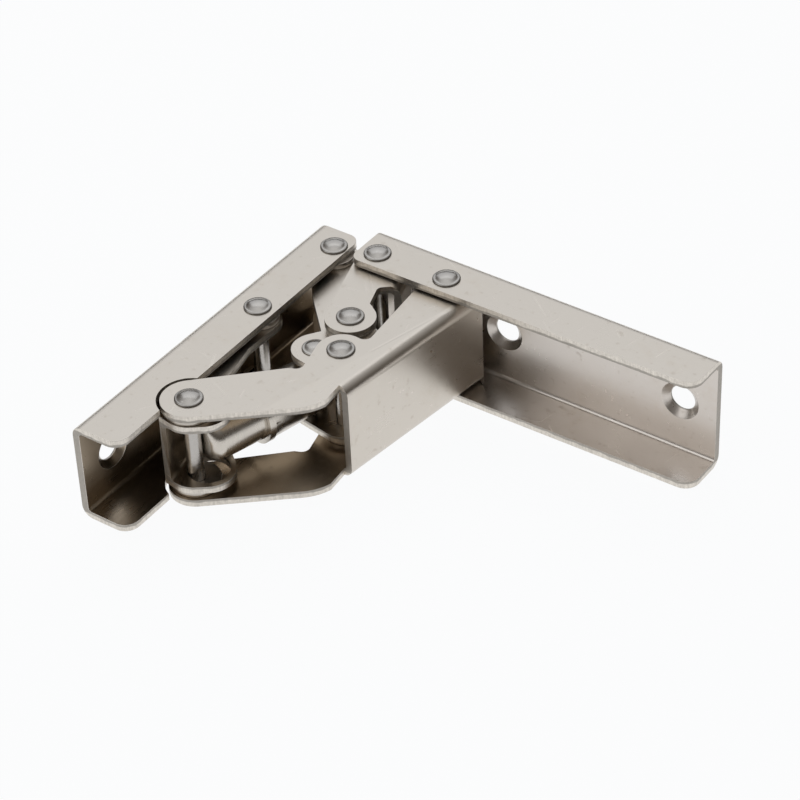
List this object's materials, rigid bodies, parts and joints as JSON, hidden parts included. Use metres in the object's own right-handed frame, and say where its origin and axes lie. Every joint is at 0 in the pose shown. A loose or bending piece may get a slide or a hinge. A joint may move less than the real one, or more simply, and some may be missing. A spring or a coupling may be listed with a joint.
{
  "type": "drop leaf table bracket",
  "caption": "Folding bracket with two screw-on channels, nested riveted links and a spring capsule, swinging a table leaf from a right angle to flat.",
  "frame": {"origin": "middle of the underside of the bracket as it lies folded at a right angle on its side", "axes": "+Z along every rivet, +X along the leaf channel away from the fold, -Y along the fixed channel away from the fold"},
  "size_m": [0.0892, 0.0776, 0.0272],
  "materials": {
    "channel_steel": "satin nickel plate on pressed steel",
    "link_steel": "satin nickel plate on pressed steel",
    "rivet_steel": "nickel plate, upset heads",
    "capsule_steel": "drawn tube, nickel plate"
  },
  "bodies": {
    "fixed": {"fixed_channel": "channel_steel", "rivet_fixed_front": "rivet_steel", "rivet_fixed_rear": "rivet_steel", "washers_fixed_front": "rivet_steel", "washers_fixed_rear": "rivet_steel"},
    "centre": {"centre_link": "link_steel", "rivet_elbow": "rivet_steel", "washers_elbow": "rivet_steel", "rivet_spring_seat": "rivet_steel"},
    "cradle": {"cradle_link": "link_steel"},
    "body": {"body_link": "link_steel", "rivet_centre": "rivet_steel", "rivet_arm_end": "rivet_steel", "washers_centre": "rivet_steel", "washers_arm_end": "rivet_steel"},
    "short": {"short_link": "link_steel"},
    "leaf": {"leaf_channel": "channel_steel", "rivet_leaf_front": "rivet_steel", "rivet_leaf_rear": "rivet_steel"},
    "cup": {"spring_cup": "capsule_steel"},
    "sleeve": {"spring_sleeve": "capsule_steel"}
  },
  "joints": [
    {"name": "fold", "type": "hinge", "parent": "fixed", "child": "centre", "pos_m": [-0.03726, 0.03102, 0.0136], "axis": [0, 0, 1], "range_deg": [0, 120.89]},
    {"name": "cradle_turn", "type": "hinge", "parent": "fixed", "child": "cradle", "pos_m": [-0.03787, 0.00751, 0.0136], "axis": [0, 0, 1], "range_deg": [0, 132.8]},
    {"name": "short_turn", "type": "hinge", "parent": "centre", "child": "short", "pos_m": [-0.02126, 0.01433, 0.0136], "axis": [0, 0, 1], "range_deg": [-120.12, 0]},
    {"name": "body_turn", "type": "hinge", "parent": "centre", "child": "body", "pos_m": [-0.01679, 0.0052, 0.0136], "axis": [0, 0, 1], "range_deg": [-83.24, 0]},
    {"name": "leaf_turn", "type": "hinge", "parent": "short", "child": "leaf", "pos_m": [-0.02717, 0.03149, 0.0136], "axis": [0, 0, 1], "range_deg": [0, 89.23]},
    {"name": "cup_turn", "type": "hinge", "parent": "body", "child": "cup", "pos_m": [-0.03148, -0.02139, 0.0136], "axis": [0, 0, 1], "range_deg": [-16.92, 0]},
    {"name": "sleeve_slide", "type": "slide", "parent": "cup", "child": "sleeve", "axis": [0.2835, 0.959, 0], "range_m": [-0.00471, 0]}
  ],
  "couplings": [
    {"joint": "cradle_turn", "follows": "fold", "ratio": 1.0984},
    {"joint": "short_turn", "follows": "fold", "ratio": -0.99356},
    {"joint": "body_turn", "follows": "fold", "ratio": -0.68851},
    {"joint": "leaf_turn", "follows": "fold", "ratio": 0.73807},
    {"joint": "cup_turn", "follows": "fold", "ratio": -0.13988},
    {"joint": "sleeve_slide", "follows": "fold", "m_per_rad": -0.0022276}
  ]
}
